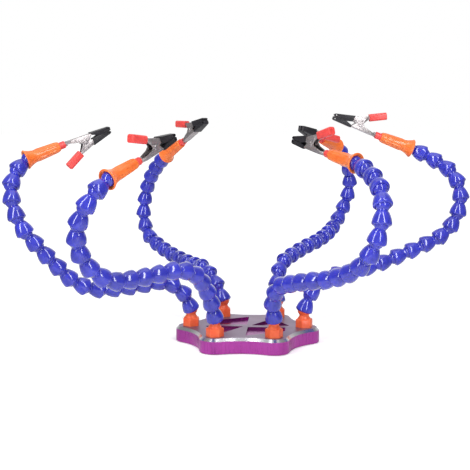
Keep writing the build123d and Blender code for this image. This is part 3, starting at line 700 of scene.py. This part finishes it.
# ---- Clips ------------------------------------------------------------------------------
# A small spring clip sits in each nozzle: two jaws pressed from nickel-plated steel
# sheet turn on a rivet against a coiled spring. Black rubber covers the jaws' tips
# and red vinyl sleeves cover both handles.
plated_steel, tree, shader = new_material("nickel-plated steel sheet", Metallic=0.85, Roughness=0.34)
place = add_node(tree, "ShaderNodeTexCoord")
tone = add_node(tree, "ShaderNodeTexNoise", {"Scale": 900.0, "Detail": 4.0},
                {"Vector": place.outputs["Object"]})
ramp = add_node(tree, "ShaderNodeValToRGB", links={"Fac": tone.outputs["Fac"]})
ramp.color_ramp.elements[0].color = colour("8f8889")
ramp.color_ramp.elements[1].color = colour("e2dcdd")
tree.links.new(ramp.outputs["Color"], shader.inputs["Base Color"])
worn = add_node(tree, "ShaderNodeMapRange", {"To Min": 0.26, "To Max": 0.46}, {"Value": tone.outputs["Fac"]})
tree.links.new(worn.outputs["Result"], shader.inputs["Roughness"])
rolled = add_node(tree, "ShaderNodeTexNoise", {"Scale": 1500.0, "Detail": 2.0},
                  {"Vector": place.outputs["Object"]})
bump = add_node(tree, "ShaderNodeBump", {"Strength": 0.2, "Distance": 0.00005},
                {"Height": rolled.outputs["Fac"]})
tree.links.new(bump.outputs["Normal"], shader.inputs["Normal"])

spring_steel, tree, shader = new_material("blackened spring steel wire", Metallic=0.9, Roughness=0.35)
place = add_node(tree, "ShaderNodeTexCoord")
scale_marks = add_node(tree, "ShaderNodeTexNoise", {"Scale": 1200.0, "Detail": 2.0},
                       {"Vector": place.outputs["Object"]})
ramp = add_node(tree, "ShaderNodeValToRGB", links={"Fac": scale_marks.outputs["Fac"]})
ramp.color_ramp.elements[0].color = colour("1c1b1d")
ramp.color_ramp.elements[1].color = colour("454347")
tree.links.new(ramp.outputs["Color"], shader.inputs["Base Color"])

cover_rubber, tree, shader = new_material("soft black moulded rubber", Roughness=0.42,
                                          Specular_IOR_Level=0.45)
place = add_node(tree, "ShaderNodeTexCoord")
bloom = add_node(tree, "ShaderNodeTexNoise", {"Scale": 220.0, "Detail": 3.0},
                 {"Vector": place.outputs["Object"]})
ramp = add_node(tree, "ShaderNodeValToRGB", links={"Fac": bloom.outputs["Fac"]})
ramp.color_ramp.elements[0].color = colour("1d1c21")
ramp.color_ramp.elements[1].color = colour("2f2e34")
tree.links.new(ramp.outputs["Color"], shader.inputs["Base Color"])
skin = add_node(tree, "ShaderNodeTexNoise", {"Scale": 1600.0, "Detail": 3.0},
                {"Vector": place.outputs["Object"]})
bump = add_node(tree, "ShaderNodeBump", {"Strength": 0.25, "Distance": 0.00008},
                {"Height": skin.outputs["Fac"]})
tree.links.new(bump.outputs["Normal"], shader.inputs["Normal"])

sleeve_vinyl, tree, shader = new_material("red dipped vinyl", Roughness=0.33, IOR=1.53,
                                          Subsurface_Weight=0.08, Subsurface_Scale=0.002)
place = add_node(tree, "ShaderNodeTexCoord")
pools = add_node(tree, "ShaderNodeTexNoise", {"Scale": 190.0, "Detail": 2.0},
                 {"Vector": place.outputs["Object"]})
ramp = add_node(tree, "ShaderNodeValToRGB", links={"Fac": pools.outputs["Fac"]})
ramp.color_ramp.elements[0].color = colour("e84242")
ramp.color_ramp.elements[1].color = colour("fb5b55")
tree.links.new(ramp.outputs["Color"], shader.inputs["Base Color"])
dip = add_node(tree, "ShaderNodeTexNoise", {"Scale": 520.0, "Detail": 2.0},
               {"Vector": place.outputs["Object"]})
bump = add_node(tree, "ShaderNodeBump", {"Strength": 0.35, "Distance": 0.00015},
                {"Height": dip.outputs["Fac"]})
tree.links.new(bump.outputs["Normal"], shader.inputs["Normal"])


def edges_eased(node, name, width, segments, material, keep=None):
    """A copy of a CAD node's mesh, joined up and with its edges rounded."""
    work = bmesh.new()
    work.from_mesh(frame["nodes"][node].data)
    bmesh.ops.remove_doubles(work, verts=work.verts, dist=1e-6)
    bmesh.ops.dissolve_limit(work, angle_limit=radians(1.5), verts=work.verts, edges=work.edges)
    if keep:
        keep(work)
    mesh = bpy.data.meshes.new(name)
    work.to_mesh(mesh)
    work.free()
    mesh.materials.clear()
    piece = new_piece(name, mesh, material)
    for polygon in mesh.polygons:
        polygon.material_index = 0
    bevel = piece.modifiers.new("eased edges", "BEVEL")
    bevel.width = width
    bevel.segments = segments
    bevel.limit_method = "ANGLE"
    bevel.angle_limit = radians(30)
    finished(piece)
    soften(piece.data, 30)
    return piece


def biggest_only(work):
    """Leave only the largest of the separate solids in the mesh."""
    work.verts.index_update()
    unseen = set(work.verts)
    groups = []
    while unseen:
        front = [unseen.pop()]
        group = set(front)
        while front:
            for edge in front.pop().link_edges:
                for vert in edge.verts:
                    if vert in unseen:
                        unseen.discard(vert)
                        group.add(vert)
                        front.append(vert)
        groups.append(group)
    middles = [sum((v.co for v in group), Vector()) / len(group) for group in groups]
    spans = [max((v.co - middle).length for v in group) for group, middle in zip(groups, middles)]
    biggest = spans.index(max(spans))
    bmesh.ops.delete(work, geom=[v for n, group in enumerate(groups) if n != biggest for v in group],
                     context="VERTS")


jaw_lean = 3.0
# Where the moving handle ends, how far it splays from the jaws, and the web over its end.
handle_end = Vector((16.97 * MM, 0, -19.98 * MM))
handle_splay = 28.8
web_size = Matrix.Diagonal((2.9 * MM, 4.6 * MM, 0.4 * MM, 1.0))
coil_radius = 1.9 * MM
coil_width = 2.6 * MM
wire_radius = 0.45 * MM

# The spring: Geometry Nodes wind the wire 3.6 times round the rivet and add its two legs.
spring_tree = bpy.data.node_groups.new("wound spring", "GeometryNodeTree")
spring_tree.interface.new_socket("Geometry", in_out="INPUT", socket_type="NodeSocketGeometry")
for socket, value in (("Turns", 3.6), ("Coil radius", coil_radius), ("Width", coil_width),
                      ("Wire radius", wire_radius)):
    spring_tree.interface.new_socket(socket, in_out="INPUT",
                                     socket_type="NodeSocketFloat").default_value = value
spring_tree.interface.new_socket("Finish", in_out="INPUT", socket_type="NodeSocketMaterial")
spring_tree.interface.new_socket("Geometry", in_out="OUTPUT", socket_type="NodeSocketGeometry")
given = add_node(spring_tree, "NodeGroupInput")
coil = add_node(spring_tree, "GeometryNodeCurveSpiral", {"Resolution": 20},
                {"Rotations": given.outputs["Turns"], "Start Radius": given.outputs["Coil radius"],
                 "End Radius": given.outputs["Coil radius"], "Height": given.outputs["Width"]})
wire = add_node(spring_tree, "GeometryNodeCurvePrimitiveCircle", {"Resolution": 10},
                {"Radius": given.outputs["Wire radius"]})
wound = add_node(spring_tree, "GeometryNodeCurveToMesh", {"Fill Caps": True},
                 {"Curve": coil.outputs["Curve"], "Profile Curve": wire.outputs["Curve"]})
whole = add_node(spring_tree, "GeometryNodeJoinGeometry")
spring_tree.links.new(wound.outputs["Mesh"], whole.inputs["Geometry"])
legs = add_node(spring_tree, "GeometryNodeMeshToCurve", links={"Mesh": given.outputs["Geometry"]})
leg_wire = add_node(spring_tree, "GeometryNodeCurveToMesh", {"Fill Caps": True},
                    {"Curve": legs.outputs["Curve"], "Profile Curve": wire.outputs["Curve"]})
spring_tree.links.new(leg_wire.outputs["Mesh"], whole.inputs["Geometry"])
hand_out(spring_tree, given, whole.outputs["Geometry"])

# The rivet is a hollow one, its ends rolled over the ears.
rivet_outline = [(0.95 * MM, 4.0 * MM), (1.15 * MM, 4.26 * MM), (1.5 * MM, 4.3 * MM), (1.9 * MM, 4.16 * MM),
                 (2.1 * MM, 3.85 * MM), (2.05 * MM, 3.7 * MM), (1.25 * MM, 3.7 * MM)]
rivet_outline = rivet_outline + [(radius, -height) for radius, height in reversed(rivet_outline)]

for arm in arms:
    tip = joints[f"{arm}_clip_turn"]
    hinge = joints[f"{arm}_jaw_open"]
    along = Vector(tip["axis"])
    across = Vector(hinge["axis"]).cross(along)
    # The jaws lean three degrees off the line of the handle that the nozzle holds, and
    # the rivet stands across them at their pivot.
    leant = stand(hinge["pos_m"], along, across) @ Matrix.Rotation(radians(jaw_lean), 4, "Y")
    at_rivet = leant @ Matrix.Rotation(radians(90), 4, "X")
    jaw = edges_eased(f"{arm}_fixed_jaw", f"{arm}_fixed_jaw_plate", 0.16 * MM, 2, plated_steel, biggest_only)
    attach(jaw, f"{arm}_clip")
    rivet_mesh = lathe(f"{arm} rivet", rivet_outline, 24)
    rivet_mesh.transform(at_rivet)
    rivet = new_piece(f"{arm}_rivet", rivet_mesh, plated_steel)
    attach(rivet, f"{arm}_clip")
    leg_line = bpy.data.meshes.new(f"{arm} spring legs")
    leg_line.from_pydata([(-coil_radius, 0, -coil_width / 2), (-1.95 * MM, -11.0 * MM, -coil_width / 2),
                          (0.83 * MM, 1.71 * MM, coil_width / 2), (7.0 * MM, -1.3 * MM, coil_width / 2)],
                         [(0, 1), (2, 3)], [])
    spring = new_piece(f"{arm}_spring", leg_line)
    winding = spring.modifiers.new("winding", "NODES")
    winding.node_group = spring_tree
    set_input(winding, "Finish", spring_steel)
    finished(spring)
    spring.data.transform(at_rivet)
    soften(spring.data, 60)
    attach(spring, f"{arm}_clip")
    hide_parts(f"{arm}_fixed_jaw")
    # Part, the body it rides on, its slot and material, and the roundness of its edges in mm.
    dressings = [("moving_jaw", "jaw", "clip_steel", plated_steel, 0.16, 2),
                 ("fixed_cover", "clip", "cover_rubber", cover_rubber, 0.6, 3),
                 ("moving_cover", "jaw", "cover_rubber", cover_rubber, 0.6, 3),
                 ("fixed_sleeve", "clip", "sleeve_vinyl", sleeve_vinyl, 0.3, 3),
                 ("moving_sleeve", "jaw", "sleeve_vinyl", sleeve_vinyl, 0.5, 3)]
    for part, body, slot, material, width, segments in dressings:
        piece = edges_eased(f"{arm}_{part}", f"{arm}_{part}_finish", width * MM, segments, material)
        if part == "moving_sleeve":
            # The dip left a thin web over the handle's end, a little way inside the sleeve.
            work = bmesh.new()
            work.from_mesh(piece.data)
            splay = Matrix.Rotation(radians(-handle_splay), 4, "Y")
            web = leant @ Matrix.Translation(handle_end) @ splay @ web_size
            bmesh.ops.create_cube(work, size=1.0, matrix=web)
            work.to_mesh(piece.data)
            work.free()
        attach(piece, f"{arm}_{body}")
        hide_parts(f"{arm}_{part}")

# ---- Floor, light and camera -------------------------------------------------------------
# White paper under the stand and a white room behind it, two tall narrow lamps that
# lean over it from the front and a weak wide one overhead.
white_floor, tree, shader = new_material("white paper sweep", Roughness=0.9, Base_Color=colour("ffffff"))
seen = add_node(tree, "ShaderNodeLightPath")
# The lamps fall off with distance, so the paper further away is lifted more.
place = add_node(tree, "ShaderNodeTexCoord")
away = add_node(tree, "ShaderNodeVectorMath", {"operation": "LENGTH"}, {0: place.outputs["Object"]})
fill = add_node(tree, "ShaderNodeMapRange", {"From Min": 0.25, "From Max": 1.5, "To Min": 0.4, "To Max": 0.8},
                {"Value": away.outputs["Value"]})
lift = add_node(tree, "ShaderNodeMath", {"operation": "MULTIPLY"},
                {0: seen.outputs["Is Camera Ray"], 1: fill.outputs["Result"]})
# Painted shade in reflections: for glossy rays only, the paper's colour is darkened towards both sides, so
# polished surfaces show a dimmer floor there.
across = add_node(tree, "ShaderNodeSeparateXYZ", links={"Vector": place.outputs["Object"]})
aside = add_node(tree, "ShaderNodeMath", {"operation": "ABSOLUTE"}, {0: across.outputs["X"]})
painted_reflection_dimming = add_node(tree, "ShaderNodeMapRange", {"From Min": 0.06, "From Max": 0.4, "To Min": 0.0, "To Max": 0.6},
               {"Value": aside.outputs["Value"]})
shade = add_node(tree, "ShaderNodeMath", {"operation": "MULTIPLY"},
                 {0: seen.outputs["Is Glossy Ray"], 1: painted_reflection_dimming.outputs["Result"]})
paper_colour_painted_dimmer_in_reflections = add_node(tree, "ShaderNodeMath", {"operation": "SUBTRACT", 0: 1.0}, {1: shade.outputs["Value"]})
tree.links.new(paper_colour_painted_dimmer_in_reflections.outputs["Value"], shader.inputs["Base Color"])
shader.inputs["Emission Color"].default_value = (1, 1, 1, 1)
tree.links.new(lift.outputs["Value"], shader.inputs["Emission Strength"])
floor_mesh = bpy.data.meshes.new("floor")
reach = 6
floor_mesh.from_pydata([(-reach, -reach, 0), (reach, -reach, 0), (reach, reach, 0), (-reach, reach, 0)],
                       [], [(0, 1, 2, 3)])
floor = new_piece("floor", floor_mesh, white_floor)

world = bpy.data.worlds.new("white room")
bpy.context.scene.world = world
world.use_nodes = True
world.node_tree.nodes.clear()
tree = world.node_tree
seen = add_node(tree, "ShaderNodeLightPath")
direct = add_node(tree, "ShaderNodeMath", {"operation": "MAXIMUM"},
                  {0: seen.outputs["Is Camera Ray"], 1: seen.outputs["Is Glossy Ray"]})
either = add_node(tree, "ShaderNodeMath", {"operation": "MAXIMUM"},
                  {0: direct.outputs["Value"], 1: seen.outputs["Is Transmission Ray"]})
# The white sheet hangs behind the stand; the room in front of it is dimmer, most of
# all at both sides, and only polished surfaces show that.
towards = add_node(tree, "ShaderNodeTexCoord")
parts = add_node(tree, "ShaderNodeSeparateXYZ", links={"Vector": towards.outputs["Generated"]})
sheet = add_node(tree, "ShaderNodeMapRange",
                 {"From Min": 0.45, "From Max": 0.92, "To Min": 0.42, "To Max": 1.0},
                 {"Value": parts.outputs["Y"]})
aside = add_node(tree, "ShaderNodeMath", {"operation": "ABSOLUTE"}, {0: parts.outputs["X"]})
sides = add_node(tree, "ShaderNodeMapRange",
                 {"From Min": 0.4, "From Max": 0.95, "To Min": 1.0, "To Max": 0.5},
                 {"Value": aside.outputs["Value"]})
room = add_node(tree, "ShaderNodeMath", {"operation": "MULTIPLY"},
                {0: sheet.outputs["Result"], 1: sides.outputs["Result"]})
shown = add_node(tree, "ShaderNodeMath", {"operation": "MAXIMUM"},
                 {0: room.outputs["Value"], 1: seen.outputs["Is Camera Ray"]})
level = add_node(tree, "ShaderNodeMapRange", {"To Min": 0.32},
                 {"Value": either.outputs["Value"], "To Max": shown.outputs["Value"]})
sky = add_node(tree, "ShaderNodeBackground", {"Color": (1, 1, 1, 1)}, {"Strength": level.outputs["Result"]})
add_node(tree, "ShaderNodeOutputWorld", links={"Surface": sky.outputs["Background"]})


def softbox(name, place, aimed_at, width, height, power):
    """A rectangular lamp aimed at a point."""
    lamp = bpy.data.lights.new(name, "AREA")
    lamp.shape = "RECTANGLE"
    lamp.size = width
    lamp.size_y = height
    lamp.energy = power
    holder = bpy.data.objects.new(name, lamp)
    bpy.context.scene.collection.objects.link(holder)
    holder.location = place
    holder.rotation_euler = (Vector(aimed_at) - Vector(place)).to_track_quat("-Z", "Y").to_euler()


softbox("left tall lamp", (-0.566, -0.7, 0.8), (0, 0, 0.318), 0.15, 1.59, 8.0)
softbox("right tall lamp", (0.477, -0.763, 0.8), (0, 0, 0.318), 0.145, 1.59, 7.5)
softbox("overhead lamp", (0.0, 0.1, 1.4), (0, 0, 0), 1.2, 0.9, 2.5)

# A long lens, a metre in front and a little above the stand's top.
camera_data = bpy.data.cameras.new("camera")
camera_data.sensor_width = 36.0
camera_data.lens = 82.44
camera_data.clip_start = 0.01
camera = bpy.data.objects.new("camera", camera_data)
bpy.context.scene.collection.objects.link(camera)
camera.location = (0.05805, -0.99708, 0.22604)
camera.rotation_euler = (radians(82.871), 0, radians(4.005))
bpy.context.scene.camera = camera
bpy.context.scene.view_settings.view_transform = "Standard"
